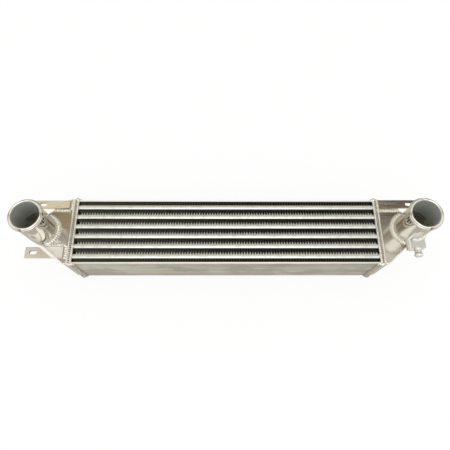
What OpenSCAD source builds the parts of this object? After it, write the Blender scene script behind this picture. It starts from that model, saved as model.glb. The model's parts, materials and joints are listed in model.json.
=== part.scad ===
// Bar and plate intercooler with two fabricated end tanks, lying on its back.
// +X runs along the core, +Y up its height, +Z out of its front face.
// The origin is the middle of the plane that the back beads lie on.

/* [Core] */
// Length of the brazed core between the two end tanks
core_l = 548; // [450:1:650]
// Depth of the core from its back to its front face
core_t = 85; // [75:1:110]
// Clear height of one charge air passage, which its long bars fill
passage_h = 7; // [5:0.5:9]
// Height of a full row of cooling fins
fin_h = 10.6; // [9:0.1:13]
// Height of the two narrow rows of fins next to the side plates
edge_fin_h = 7; // [5:0.5:9]
// Thickness of a parting sheet
sheet_t = 0.5; // [0.4:0.1:0.8]
// Thickness of the upper and lower side plate
side_plate_t = 2.5; // [1.5:0.1:4]
// Width of the header bars that close the fin rows against the tanks
header_bar_w = 5; // [4:0.5:10]
// Depth of the long bars that close the charge air passages
bar_d = 8; // [6:0.5:12]
// Height of the rounded nose on a long bar
bar_crown = 1.2; // [0.5:0.1:2]

/* [Fins] */
// Pitch of the folds in the cooling fins, about which a whole number of folds is fitted
fin_pitch = 5; // [3.5:0.05:6]
// Metal thickness of the cooling fins
fin_gauge = 0.2; // [0.15:0.05:0.3]
// How far the fins' front and back edges lie behind the bars
fin_setback = 1.5; // [1:0.1:4]
// Clear gap between the last fold and the header bar
fin_end_gap = 3.5; // [1:0.1:6]
// Pitch of the folds in the turbulators inside the passages, fitted in the same way
turbulator_pitch = 4; // [3:0.1:8]
// Metal thickness of the turbulators
turbulator_gauge = 0.3; // [0.2:0.05:0.4]
// Play between a fold's tip and the sheet that it is brazed to
braze_play = 0.02; // [0.01:0.01:0.05]

/* [Tanks] */
// Wall thickness of the end tanks
tank_wall = 3; // [2:0.1:4]
// Width of the straight band of tank next to the core
tank_neck = 9.5; // [8:0.1:16]
// Width of the flat back of the tank before it slopes to the port
tank_heel = 5; // [3:0.1:8]
// Angle at which the back of the tank slopes to the port
tank_slope = 56; // [50:0.5:60]

/* [Ports] */
// Distance of a port's axis from the end of the core
port_reach = 53; // [46:0.5:60]
// Height of the left port's axis above the middle of the core
left_port_y = 1.5; // [-6:0.5:6]
// Height of the right port's axis above the middle of the core
right_port_y = 4.5; // [-6:0.5:6]
// Outer diameter of the port tubes
port_od = 53; // [48:0.5:58]
// Wall thickness of the port tubes
port_wall = 3.3; // [2:0.1:4]
// How much wider a tube is bored below the straight stretch that takes a fitting
foot_relief = 0.5; // [0.4:0.1:1]
// Length of a port tube in front of its tank
port_h = 73; // [66:1:90]
// Section radius of the hose bead rolled near the mouth
bead_r = 2.6; // [2:0.1:3.2]
// How far the bead stands out of the tube
bead_out = 2.4; // [1.5:0.1:2.6]
// Distance of the middle of the bead below the mouth
bead_drop = 4.4; // [4:0.1:12]

/* [Straps] */
// Thickness of the mounting straps
strap_t = 3; // [2:0.1:5]
// Width of the two upper straps
upper_strap_w = 16; // [12:0.5:20]
// Distance from the core's upper edge to an upper strap's edge
upper_strap_drop = 0.5; // [0:0.1:1]
// Width of the lower strap
lower_strap_w = 20; // [14:0.5:24]
// Distance from the core's lower edge to the lower strap's edge
lower_strap_rise = 10; // [8:0.5:16]
// Distance from the core's end to the outer end of an upper strap
upper_strap_reach = 76; // [72:1:80]
// Distance from the core's end to the outer end of the lower strap
lower_strap_reach = 78; // [74:1:82]
// Gap between the core's end and the right strap's inner end
strap_start = 4.6; // [4.1:0.1:6]
// Width across a strap's fixing slot
slot_w = 6.4; // [4.2:0.1:8.6]
// Length of a fixing slot from end to end
slot_l = 13; // [10:0.5:18]
// Distance of an upper slot's centre from the core's end
upper_slot_reach = 60.5; // [56:0.5:63]
// Distance of the lower slot's centre from the core's end
lower_slot_reach = 64; // [58:0.5:65]
// Length of the ramp where a left strap steps down past the tank's edge
joggle_run = 5; // [3:0.5:8]

/* [Welds] */
// Width of the bead that joins a tank to the core, on its front and back
seam_bead_w = 9; // [5:0.5:9]
// Width of the same bead where it lies on a side plate
seam_side_w = 9; // [6:0.5:10]
// How far the seam bead stands out of the core
seam_bead_h = 3; // [2:0.1:4]
// Radius of the round knuckles at the corners of the seam bead
knuckle_r = 4; // [3.2:0.1:5]
// Width of the fillet round the foot of a port tube
port_fillet_w = 5.5; // [4:0.1:5.9]
// Height of that fillet up the tube
port_fillet_h = 4.5; // [3:0.1:7]
// Width of the bead along a strap's edge and across its inner end
strap_bead_w = 6; // [5.5:0.1:7]
// Height of that bead
strap_bead_h = 2.6; // [1.5:0.1:2.7]

/* [Sensor boss] */
// Width of the block of the sensor boss
boss_w = 20; // [16:0.5:24]
// Length of the block along the port's axis
boss_l = 21; // [17:0.5:25]
// How far the block's face lies below the port tube's lowest line
boss_drop = 15.5; // [12:0.5:20]
// Distance of the block's middle from the port's axis
boss_shift = 6; // [2:0.5:8]
// Height of the block's lower end in front of the core's face
boss_z = -1; // [-4:0.5:6]
// Diameter of the round lug beside the block
lug_d = 12; // [10:0.5:15]
// How far the lug stands out past the block's face
lug_out = 1.5; // [0.5:0.1:3]
// Diameter of the threaded hole through the boss, taken at the thread's middle
boss_bore_d = 10; // [8:0.5:11]
// Diameter of the neck of the blanking plug
plug_neck_d = 12; // [10:0.5:13]
// Length of that neck
plug_neck_l = 7; // [4:0.5:12]
// Diameter of the plug's rounded head
plug_head_d = 14.5; // [13.5:0.5:18]
// Length of the plug's head
plug_head_l = 6.5; // [5:0.5:10]
// Length of the plug's shank inside the boss
plug_shank_l = 8; // [6:0.5:11]

/* [Hidden] */
passages = 6;
rows = passages + 1;
sides = ["left", "right"];
numbered = function (name, count) [for (i = [1:count]) str(name, "_", i)];
on_both_sides = function (name) [for (side = sides) str(name, "_", side)];

// Fine enough for a smooth preview of every round
$fn = 96;
// Overlap of a cutting tool past the face that it cuts
eps = 1;

// The core's outline
row_step = passage_h + 2 * sheet_t + fin_h;
half_h = ((passages - 1) * row_step + passage_h + 2 * sheet_t) / 2 + edge_fin_h + side_plate_t;
half_l = core_l / 2;
back_z = seam_bead_h;
front_z = back_z + core_t;
mid_z = back_z + core_t / 2;

// The ports and the mitre that closes their feet
port_x = half_l + port_reach;
port_r = port_od / 2;
bore_r = port_r - port_wall;
mouth_z = front_z + port_h;
heel_x = half_l + tank_heel;
far_x = port_x + 2 * port_r;
slope_rise = tan(tank_slope);
slab = tank_wall / cos(tank_slope);
foot_bore_r = bore_r + foot_relief;
// Height above which the mitre has left the bore on every side
straight_z = back_z + slab + slope_rise * (port_x + foot_bore_r - heel_x);

// How far a bead stays clear of its neighbour and of the edge of its panel
weld_margin = 0.5;

// The straps
upper_strap_y = half_h - upper_strap_drop - upper_strap_w / 2;
lower_strap_y = -half_h + lower_strap_rise + lower_strap_w / 2;
strap_end_x = half_l + seam_bead_w / 2 + strap_bead_w + weld_margin;

// The sensor boss
boss_x = port_x + boss_shift;
boss_face_y = right_port_y - port_r - boss_drop;
boss_mid_z = front_z + boss_z + boss_l / 2;
lug_x = boss_x - boss_w / 2 - lug_d / 4;
thread_play = 0.05;

// Radius of a fillet's crown as a share of the chord from its toe to its top
fillet_bulge = 0.75;

// Colours as they show on the real thing
aluminium = [0.80, 0.80, 0.78];
polished = [0.88, 0.88, 0.86];
fin_black = [0.16, 0.16, 0.15];
bead_grey = [0.70, 0.69, 0.66];
plate_grey = [0.62, 0.62, 0.58];

// Height of the middle of charge air passage i, counted from the top
function passage_y(i) = ((passages + 1) / 2 - i) * row_step;

// Clear height of row i of cooling fins
function row_height(i) = (i == 1 || i == rows) ? edge_fin_h : fin_h;

// Height of the middle of that row
function row_y(i) =
    i == 1 ? half_h - side_plate_t - edge_fin_h / 2 :
    i == rows ? -(half_h - side_plate_t - edge_fin_h / 2) :
    passage_y(i) + row_step / 2;

// A folded strip of sheet metal: count folds of the given pitch and overall height.
// Its upper and lower edges are the same zigzag, apart by the sheet's upright thickness.
function folded_strip(count, pitch, height, gauge) =
    let (
        last = 2 * count,
        upright = gauge * sqrt(1 + pow(2 * height / pitch, 2)),
        x = function (k) (k - count) * pitch / 2,
        low = function (k) k % 2 == 0 ? -height / 2 : height / 2 - upright
    )
    concat(
        [for (k = [0:last]) [x(k), low(k)]],
        [for (k = [last:-1:0]) [x(k), low(k) + upright]]
    );

// Radius of an arc that rises by rise over a chord of the given width
function arc_radius(width, rise) = (width * width / 4 + rise * rise) / (2 * rise);

// One weld bead's section: a flat foot on y = 0 and a round crown
module bead_section(width, rise) {
    r = arc_radius(width, rise);
    intersection() {
        translate([0, rise - r])
            circle(r = r);
        translate([-width / 2, 0])
            square([width, rise]);
    }
}

// Stands a section drawn in Y and Z up and runs it along X
module along_x(length) {
    rotate([90, 0, 90])
        linear_extrude(height = length, center = true)
            children();
}

// Stands a section drawn in X and Z up and runs it along Y
module along_y(length) {
    rotate([90, 0, 0])
        linear_extrude(height = length, center = true)
            children();
}

// The right hand form, or its mirror image for the left side
module handed(side) {
    mirror([side == "left" ? 1 : 0, 0, 0])
        children();
}

module side_plate(y) {
    color(plate_grey)
        translate([0, y, mid_z])
            cube([core_l, side_plate_t, core_t], center = true);
}

// Sheet k lies above passage i for odd k and below it for even k
module parting_sheet(k) {
    i = ceil(k / 2);
    way = k % 2 == 1 ? 1 : -1;
    color(aluminium)
        translate([0, passage_y(i) + way * (passage_h + sheet_t) / 2, mid_z])
            cube([core_l, sheet_t, core_t - 2 * bar_crown], center = true);
}

// Section of a long bar with its rounded nose at the front
module bar_section() {
    r = arc_radius(passage_h, bar_crown);
    intersection() {
        translate([-passage_h / 2, -bar_d])
            square([passage_h, bar_d]);
        translate([0, -max(r, bar_d - r)])
            circle(r = max(r, bar_d - r));
    }
}

module front_bar(i) {
    color(polished)
        translate([0, passage_y(i), front_z])
            along_x(core_l)
                bar_section();
}

module back_bar(i) {
    color(polished)
        translate([0, passage_y(i), back_z])
            mirror([0, 0, 1])
                along_x(core_l)
                    bar_section();
}

// The folded strip inside a passage, with its folds running from tank to tank
module turbulator(i) {
    room = core_t - 2 * bar_d;
    folds = floor(room / turbulator_pitch);
    pitch = (room - 2 * braze_play) / folds;
    strip = folded_strip(folds, pitch, passage_h - 2 * braze_play, turbulator_gauge);
    color(aluminium)
        translate([0, passage_y(i), mid_z])
            along_x(core_l)
                polygon([for (p = strip) [p[1], p[0]]]);
}

// A row of cooling fins, with its folds running from front to back
module cooling_fins(i) {
    room = core_l - 2 * header_bar_w - 2 * fin_end_gap;
    folds = floor(room / fin_pitch);
    height = row_height(i) - 2 * braze_play;
    depth = core_t - 2 * fin_setback;
    color(fin_black)
        translate([0, row_y(i), mid_z - depth / 2])
            linear_extrude(height = depth)
                polygon(folded_strip(folds, room / folds, height, fin_gauge));
}

// The short bars that close every fin row at one end of the core
module header_bars(side) {
    color(aluminium)
        handed(side)
            for (i = [1:rows])
                translate([half_l - header_bar_w / 2, row_y(i), mid_z])
                    cube([header_bar_w, row_height(i), core_t], center = true);
}

// Angle of the flank that runs from the neck's edge to the side of the port
function flank_angle(y, way) = atan2(half_h - way * y - port_r, port_reach - tank_neck);

// Start and end of that flank, moved inwards by inset
function flank(y, way, inset) =
    let (
        a = flank_angle(y, way),
        end_y = y + way * (port_r - inset / cos(a)),
        start_y = way * (half_h - inset),
        start_x = port_x - abs(start_y - end_y) / tan(a)
    )
    [[start_x, start_y], [port_x, end_y]];

// Plan of the tank between the core and the port's axis, with its walls moved inwards by inset
module tank_funnel(y, inset) {
    lower = flank(y, -1, inset);
    upper = flank(y, 1, inset);
    mouth_x = inset > 0 ? half_l - eps : half_l;
    polygon([
        [mouth_x, -half_h + inset], lower[0], lower[1],
        upper[1], upper[0], [mouth_x, half_h - inset]
    ]);
}

// Plan of the whole tank seen from the front, round at the port
module tank_plan(y, inset = 0) {
    tank_funnel(y, inset);
    translate([port_x, y])
        circle(r = port_r - inset);
}

// Side view of the space above the tank's back plate, lifted by the plate's thickness if inside
module above_back(inside) {
    lift = inside ? tank_wall : 0;
    rise = inside ? slab : 0;
    corner_x = heel_x - lift * tan(tank_slope / 2);
    top_z = mouth_z + core_t;
    polygon([
        [half_l - eps, back_z + lift],
        [corner_x, back_z + lift],
        [far_x, back_z + rise + slope_rise * (far_x - heel_x)],
        [far_x, top_z + slope_rise * (far_x - heel_x)],
        [half_l - eps, top_z]
    ]);
}

// The same space as a solid, as deep as the core is high
module over_back(inside) {
    along_y(4 * half_h)
        above_back(inside);
}

// Welded shell of a tank: front panel, two flanks, round end and sloping back in one.
// The back plate runs on up to close the mitred foot of the port tube.
module tank_shell(y) {
    difference() {
        intersection() {
            union() {
                translate([0, 0, back_z])
                    linear_extrude(height = core_t)
                        tank_plan(y);
                difference() {
                    translate([port_x, y, front_z - eps])
                        cylinder(r = port_r, h = port_h);
                    over_back(true);
                }
            }
            over_back(false);
        }
        intersection() {
            translate([0, 0, back_z])
                linear_extrude(height = core_t - tank_wall)
                    tank_plan(y, tank_wall);
            over_back(true);
        }
        intersection() {
            translate([port_x, y, front_z - tank_wall - eps])
                cylinder(r = foot_bore_r, h = port_h);
            over_back(true);
        }
    }
}

function port_y(side) = side == "left" ? left_port_y : right_port_y;

module tank(side) {
    color(aluminium)
        handed(side)
            tank_shell(port_y(side));
}

// Half section of a port tube, with a full round lip, the rolled bead and the relieved foot
module port_section() {
    difference() {
        union() {
            translate([bore_r, 0])
                square([port_wall, port_h - port_wall / 2]);
            translate([bore_r + port_wall / 2, port_h - port_wall / 2])
                circle(d = port_wall);
            translate([port_r + bead_out - bead_r, port_h - bead_drop])
                circle(r = bead_r);
        }
        square([bore_r, port_h]);
        square([foot_bore_r, straight_z - front_z]);
    }
}

// The tube butts on the front panel, and its outer side is cut to the sloping back plate
module port_tube(side) {
    color(polished)
        handed(side)
            difference() {
                intersection() {
                    translate([port_x, port_y(side), front_z])
                        rotate_extrude()
                            port_section();
                    over_back(true);
                }
                if (side == "right")
                    boss_drill();
            }
}

// Round knuckle where the runs of the seam bead meet over one corner of the core.
// The corner is the origin, and the core lies in front of -Y and -Z.
module seam_knuckle() {
    out = knuckle_r - seam_bead_h;
    reach = 3 * knuckle_r;
    difference() {
        translate([0, out, -out])
            sphere(r = knuckle_r);
        translate([-reach / 2, -reach, -reach])
            cube(reach);
    }
}

// The bead round the joint of core and tank: two runs on the faces and two on the side plates,
// with a round knuckle at each corner
module seam_weld(side) {
    side_x = half_l - seam_side_w / 2;
    knuckle_x = (half_l + side_x) / 2;
    color(bead_grey)
        handed(side)
            for (way = [0, 1]) {
                translate([half_l, 0, mid_z])
                    mirror([0, 0, way])
                        translate([0, 0, core_t / 2])
                            along_y(2 * half_h)
                                bead_section(seam_bead_w, seam_bead_h);
                translate([side_x, 0, mid_z])
                    mirror([0, way, 0])
                        translate([0, half_h, 0])
                            rotate([-90, 0, 0])
                                along_y(core_t)
                                    bead_section(seam_side_w, seam_bead_h);
                for (face = [0, 1])
                    translate([knuckle_x, 0, mid_z])
                        mirror([0, 0, face])
                            mirror([0, way, 0])
                                translate([0, half_h, core_t / 2])
                                    seam_knuckle();
            }
}

// Fillet between the front panel and the foot of a port tube, where the panel carries it
module port_weld(side) {
    y = port_y(side);
    color(bead_grey)
        handed(side)
            difference() {
                intersection() {
                    translate([port_x, y, front_z])
                        rotate_extrude()
                            translate([port_r, 0])
                                fillet_section();
                    translate([0, 0, front_z])
                        linear_extrude(height = port_fillet_h)
                            tank_funnel(y, weld_margin);
                    over_back(true);
                }
                if (side == "right")
                    boss_blank();
            }
}

// Section of that fillet: a round through its toe on the panel and its top on the tube
module fillet_section() {
    w = port_fillet_w;
    h = port_fillet_h;
    chord = sqrt(w * w + h * h);
    r = fillet_bulge * chord;
    back = sqrt(r * r - chord * chord / 4);
    intersection() {
        translate([w / 2 - back * h / chord, h / 2 - back * w / chord])
            circle(r = r);
        square([w, h]);
    }
}

// Plan of a strap with its fixing slot, from its inner to its outer end
module strap_plan(inner_x, outer_x, slot_x, y, w) {
    difference() {
        translate([inner_x, y - w / 2])
            square([outer_x - inner_x, w]);
        for (end = [-1, 1])
            translate([slot_x + end * (slot_l - slot_w) / 2, y])
                circle(d = slot_w);
        translate([slot_x - (slot_l - slot_w) / 2, y - slot_w / 2])
            square([slot_l - slot_w, slot_w]);
    }
}

module upper_strap_plan(inner_x) {
    outer_x = half_l + upper_strap_reach;
    slot_x = half_l + upper_slot_reach;
    strap_plan(inner_x, outer_x, slot_x, upper_strap_y, upper_strap_w);
}

module lower_strap_plan(inner_x) {
    outer_x = half_l + lower_strap_reach;
    slot_x = half_l + lower_slot_reach;
    strap_plan(inner_x, outer_x, slot_x, lower_strap_y, lower_strap_w);
}

// Side view across the tank's flank: the strap lies on the panel and steps down outside it
module joggle_section() {
    far = 4 * port_od;
    polygon([
        [-far, 0], [0, 0], [joggle_run, -strap_t], [far, -strap_t],
        [far, 0], [joggle_run, 0], [0, strap_t], [-far, strap_t]
    ]);
}

// A left strap, which steps down along the tank's flank above (1) or below (-1) the port
module stepped_strap(way) {
    start = flank(left_port_y, way, 0)[0];
    intersection() {
        translate([0, 0, front_z - 2 * strap_t])
            linear_extrude(height = 4 * strap_t)
                children();
        translate([start[0], start[1], front_z])
            rotate([0, 0, -way * flank_angle(left_port_y, way)])
                rotate([0, 0, way > 0 ? 0 : 180])
                    rotate([90, 0, 90])
                        linear_extrude(height = 8 * port_od, center = true)
                            joggle_section();
    }
}

module strap_upper_right() {
    color(aluminium)
        translate([0, 0, front_z])
            linear_extrude(height = strap_t)
                upper_strap_plan(half_l + strap_start);
}

module strap_upper_left() {
    color(aluminium)
        handed("left")
            stepped_strap(1)
                upper_strap_plan(strap_end_x);
}

module strap_lower_left() {
    color(aluminium)
        handed("left")
            stepped_strap(-1)
                lower_strap_plan(strap_end_x);
}

// A bead along a strap's edge, mitred into one across its inner end where end_l isn't zero.
// The strap's corner is the origin, with the strap on the side of +X and -Y.
module mitred_bead(run_l, end_l) {
    w = strap_bead_w;
    start_x = end_l > 0 ? -w : 0;
    intersection() {
        translate([0, w / 2, 0])
            along_x(2 * run_l)
                bead_section(w, strap_bead_h);
        linear_extrude(height = strap_bead_h)
            polygon([[0, 0], [run_l, 0], [run_l, w], [start_x, w]]);
    }
    if (end_l > 0)
        intersection() {
            translate([-w / 2, 0, 0])
                along_y(2 * end_l)
                    bead_section(w, strap_bead_h);
            linear_extrude(height = strap_bead_h)
                polygon([[0, 0], [-w, w], [-w, -end_l], [0, -end_l]]);
        }
}

// A strap's bead in its place on the panel, clear of the fillet round the port.
// It lies above (1) or below (-1) the strap, from the strap's corner to the panel's edge.
module strap_weld(port_y, corner_x, edge_y, way, end_l) {
    intersection() {
        translate([corner_x, edge_y, front_z])
            mirror([0, way > 0 ? 0 : 1, 0])
                mitred_bead(port_x - corner_x, end_l);
        translate([0, 0, front_z])
            linear_extrude(height = strap_bead_h)
                difference() {
                    tank_plan(port_y);
                    translate([port_x, port_y])
                        circle(r = port_r + port_fillet_w);
                }
    }
}

module strap_weld_upper_right() {
    edge_y = upper_strap_y - upper_strap_w / 2;
    color(bead_grey)
        strap_weld(right_port_y, half_l + strap_start, edge_y, -1, 0);
}

module strap_weld_upper_left() {
    edge_y = upper_strap_y - upper_strap_w / 2;
    color(bead_grey)
        handed("left")
            strap_weld(left_port_y, strap_end_x, edge_y, -1, upper_strap_w);
}

module strap_weld_lower_left() {
    edge_y = lower_strap_y + lower_strap_w / 2;
    color(bead_grey)
        handed("left")
            strap_weld(left_port_y, strap_end_x, edge_y, 1, lower_strap_w);
}

// The port tube and its tank as one solid, which cuts the boss to its seat
module port_body() {
    translate([port_x, right_port_y, back_z])
        cylinder(r = port_r, h = core_t + port_h);
    translate([0, 0, back_z])
        linear_extrude(height = core_t)
            tank_plan(right_port_y);
}

// Block and round lug before they are cut to their seat on the right port
module boss_blank() {
    translate([boss_x - boss_w / 2, boss_face_y, boss_mid_z - boss_l / 2])
        cube([boss_w, right_port_y - boss_face_y, boss_l]);
    translate([lug_x, boss_face_y - lug_out, boss_mid_z])
        rotate([-90, 0, 0])
            cylinder(d = lug_d, h = right_port_y - boss_face_y + lug_out);
}

// The drill that opens the boss into the port's bore
module boss_drill() {
    translate([boss_x, boss_face_y - eps, boss_mid_z])
        rotate([-90, 0, 0])
            cylinder(d = boss_bore_d, h = right_port_y - boss_face_y);
}

// Boss welded to the underside of the right port, with a threaded hole for a sensor
module sensor_boss() {
    color(polished)
        difference() {
            boss_blank();
            port_body();
            boss_drill();
        }
}

// Fillet between the boss's upper end and the port tube
module sensor_boss_weld() {
    top_z = boss_mid_z + boss_l / 2;
    color(bead_grey)
        intersection() {
            translate([port_x, right_port_y, top_z])
                rotate_extrude()
                    translate([port_r, 0])
                        intersection() {
                            circle(r = strap_bead_h);
                            square(strap_bead_h);
                        }
            translate([boss_x - boss_w / 2, boss_face_y, top_z])
                cube([boss_w, right_port_y - boss_face_y, strap_bead_h]);
        }
}

// Half section of the plug: threaded shank, neck and a head with a round rim
module plug_section() {
    shank_r = boss_bore_d / 2 - thread_play;
    rim = plug_head_l / 2;
    translate([0, -plug_shank_l])
        square([shank_r, plug_shank_l + eps]);
    square([plug_neck_d / 2, plug_neck_l]);
    translate([0, plug_neck_l])
        square([plug_head_d / 2 - rim, plug_head_l]);
    translate([plug_head_d / 2 - rim, plug_neck_l + rim])
        intersection() {
            circle(r = rim);
            translate([0, -rim])
                square([rim, plug_head_l]);
        }
}

module blanking_plug() {
    color(polished)
        translate([boss_x, boss_face_y, boss_mid_z])
            rotate([90, 0, 0])
                rotate_extrude()
                    plug_section();
}

side_plate(half_h - side_plate_t / 2);  // side_plate_upper
side_plate(-half_h + side_plate_t / 2);  // side_plate_lower
for (k = [1:2 * passages])
    parting_sheet(k);
for (i = [1:passages]) {
    front_bar(i);
    back_bar(i);
    turbulator(i);
}
for (i = [1:rows])
    cooling_fins(i);
for (side = sides) {
    header_bars(side);
    tank(side);
    port_tube(side);
    seam_weld(side);
    port_weld(side);
}
strap_upper_left();
strap_upper_right();
strap_lower_left();
strap_weld_upper_left();
strap_weld_upper_right();
strap_weld_lower_left();
sensor_boss();
sensor_boss_weld();
blanking_plug();
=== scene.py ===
"""Looks of a bar and plate intercooler: finishes, folded fins, weld beads, light and camera.

Lengths are in metres, or in millimetres where a name or a docstring says so. The frame is that of
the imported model: +X runs along the core, +Y up its height and +Z out of its front face. The part
lies on its back on the floor, at z = 0.
"""

from __future__ import annotations

import json
import logging
import math
from dataclasses import dataclass, field
from enum import Enum
from typing import Any, Sequence

import bpy
from mathutils import Matrix, Vector

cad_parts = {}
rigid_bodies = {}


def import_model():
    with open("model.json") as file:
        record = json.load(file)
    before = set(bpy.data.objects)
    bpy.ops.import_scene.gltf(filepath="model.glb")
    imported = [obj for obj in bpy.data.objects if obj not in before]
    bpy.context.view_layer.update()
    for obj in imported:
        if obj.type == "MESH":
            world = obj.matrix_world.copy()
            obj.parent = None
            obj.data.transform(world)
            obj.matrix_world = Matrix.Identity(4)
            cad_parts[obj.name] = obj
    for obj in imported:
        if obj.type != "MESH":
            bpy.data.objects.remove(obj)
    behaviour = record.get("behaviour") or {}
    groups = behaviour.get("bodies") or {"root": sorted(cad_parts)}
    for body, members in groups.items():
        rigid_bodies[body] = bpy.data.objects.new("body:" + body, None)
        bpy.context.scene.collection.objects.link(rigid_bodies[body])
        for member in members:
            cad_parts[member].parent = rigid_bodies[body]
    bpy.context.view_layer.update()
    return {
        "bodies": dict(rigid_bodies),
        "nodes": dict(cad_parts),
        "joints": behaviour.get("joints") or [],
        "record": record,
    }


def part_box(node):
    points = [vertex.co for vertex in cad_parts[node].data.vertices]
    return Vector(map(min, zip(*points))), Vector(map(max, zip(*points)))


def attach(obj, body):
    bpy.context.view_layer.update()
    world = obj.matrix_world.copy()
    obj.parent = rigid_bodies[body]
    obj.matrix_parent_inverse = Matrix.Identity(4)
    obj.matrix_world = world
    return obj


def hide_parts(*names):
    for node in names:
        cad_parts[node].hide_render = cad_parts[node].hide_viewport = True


LOG = logging.getLogger("intercooler")
MM = 0.001
Point = tuple[float, float, float]
Tones = tuple[tuple[float, str], ...]
Inputs = dict[Any, Any]
Node = bpy.types.Node
Socket = bpy.types.NodeSocket

FRAME: dict[str, Any] = {}


class Side(Enum):
    """The two ends of the core, as the sign of their X."""

    LEFT = -1
    RIGHT = 1

    @property
    def word(self) -> str:
        """The word that the names of this side's nodes end with."""
        return self.name.lower()


class Grain(Enum):
    """The direction in which a metal surface was rolled, drawn or brushed."""

    ALONG_X = (0.02, 1.0, 1.0)
    ALONG_Y = (1.0, 0.02, 1.0)
    ALONG_Z = (1.0, 1.0, 0.02)
    NONE = (1.0, 1.0, 1.0)


def linear(hex_colour: str) -> tuple[float, ...]:
    """Turn an sRGB colour into the linear values that the shaders take.

    Args:
        hex_colour: six hex digits after a hash sign.

    Returns:
        Linear red, green, blue and an alpha of 1.
    """
    channels = [int(hex_colour[i : i + 2], 16) / 255 for i in (1, 3, 5)]
    lit = [c / 12.92 if c <= 0.04045 else ((c + 0.055) / 1.055) ** 2.4 for c in channels]
    return (*lit, 1.0)


def ranges(value: Any, start: float, end: float, low: float = 0, high: float = 1) -> Inputs:
    """Name the inputs with which a value from start to end gives a result from low to high."""
    return {"Value": value, "From Min": start, "From Max": end, "To Min": low, "To Max": high}


@dataclass
class Graph:
    """A node tree while it is being built."""

    tree: bpy.types.NodeTree

    def feed(self, target: Socket, source: Any) -> None:
        """Set an input to a value, or link it from a socket or from a node's first output.

        Args:
            target: the input.
            source: the value, the socket, the node, or a formula, which is a tuple of a Math node's
                operation and its terms. Each term is a source too.
        """
        if isinstance(source, tuple) and isinstance(source[0], str):
            operation, *terms = source
            source = self.add("ShaderNodeMath", dict(enumerate(terms)), operation=operation)
        if isinstance(source, Node):
            source = source.outputs[0]
        if isinstance(source, Socket):
            self.tree.links.new(source, target)
        else:
            target.default_value = source

    def add(self, kind: str, inputs: Inputs | None = None, **settings: Any) -> Node:
        """Add a node with its settings, its values and its links.

        Args:
            kind: Blender's name of the node type.
            inputs: what feed() takes, or a list of it, for each input by name or number.
            settings: the node's own properties.

        Returns:
            The new node.
        """
        node = self.tree.nodes.new(kind)
        for name, value in settings.items():
            setattr(node, name, value)
        for key, value in (inputs or {}).items():
            for source in value if isinstance(value, list) else [value]:
                self.feed(node.inputs[key], source)
        return node


# Finishes


@dataclass
class MetalGraph(Graph):
    """A metal's node tree while it is built: one Principled shader and the patterns on it."""

    roughness: float
    grain: Grain

    def __post_init__(self) -> None:
        """Make the shader a metal and add the object's coordinates."""
        self.shader = self.tree.nodes["Principled BSDF"].inputs
        self.shader["Metallic"].default_value = 1.0
        self.shader["Roughness"].default_value = self.roughness
        self.place = self.add("ShaderNodeTexCoord").outputs["Object"]

    def pattern(self, size_mm: float, grain: Grain | None = None, detail: float = 4.0) -> Node:
        """Add a cloud pattern, drawn out along the metal's grain.

        Args:
            size_mm: width of one feature across the grain.
            grain: direction to draw it out in, or the metal's own.
            detail: octaves of finer pattern inside it.

        Returns:
            The pattern, whose value about 0.5 runs from 0 to 1.
        """
        scale = tuple(k / (size_mm * MM) for k in (grain or self.grain).value)
        placed = self.add("ShaderNodeMapping", {"Vector": self.place, "Scale": scale})
        cloud = {"Vector": placed, "Scale": 1.0, "Detail": detail, "Roughness": 0.55}
        return self.add("ShaderNodeTexNoise", cloud)

    def tint(self, amount: Any, colour: str) -> None:
        """Blend the base colour towards another one.

        Args:
            amount: how much of the other colour shows, from 0 to 1.
            colour: the other colour, in hex.
        """
        base = self.shader["Base Color"]
        under = base.links[0].from_socket if base.is_linked else tuple(base.default_value)
        tones = {0: amount, 6: under, 7: linear(colour)}
        self.feed(base, self.add("ShaderNodeMix", tones, data_type="RGBA").outputs[2])

    def stain(
        self, colour: str, value: Any, low: float, high: float, start: float = 0.3, end: float = 0.7
    ) -> None:
        """Let another colour show by a value: from low at the value's start to high at its end."""
        self.tint(self.add("ShaderNodeMapRange", ranges(value, start, end, low, high)), colour)

    def fade(self, colour: str, low: float, high: float, start: float, end: float) -> None:
        """Let another colour show by the height in the part, as stain() does by a value."""
        height = self.add("ShaderNodeSeparateXYZ", {0: self.place}).outputs["Z"]
        self.stain(colour, height, low, high, start, end)

    def polish(self, pattern: Node, low: float, high: float) -> None:
        """Let the roughness follow a pattern, from low to high beside its own value."""
        steps = ranges(pattern, 0.3, 0.7, self.roughness + low, self.roughness + high)
        self.feed(self.shader["Roughness"], self.add("ShaderNodeMapRange", steps))

    def relief(self, pattern: Node, depth_mm: float) -> None:
        """Raise the surface by a pattern of the given depth."""
        bump = {"Height": pattern, "Distance": depth_mm * MM, "Strength": 1.0}
        self.feed(self.shader["Normal"], self.add("ShaderNodeBump", bump))


@dataclass(frozen=True)
class Finish:
    """A metal's surface: its colour, how rough it is and which way it was worked.

    Real lines and tool marks are too fine to show at the photograph's size. These are as coarse as
    they need to be.
    """

    name: str
    colour: str
    roughness: float
    grain: Grain = Grain.NONE

    def build(self) -> bpy.types.Material:
        """Make the material: the bare metal, and the marks of this finish on it.

        Returns:
            The material.
        """
        material = bpy.data.materials.new(self.name)
        material.use_nodes = True
        metal = MetalGraph(material.node_tree, self.roughness, self.grain)
        metal.shader["Base Color"].default_value = linear(self.colour)
        self.mark(metal)
        return material

    def mark(self, metal: MetalGraph) -> None:
        """Add the marks that this finish leaves on the metal."""
        raise NotImplementedError


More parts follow.
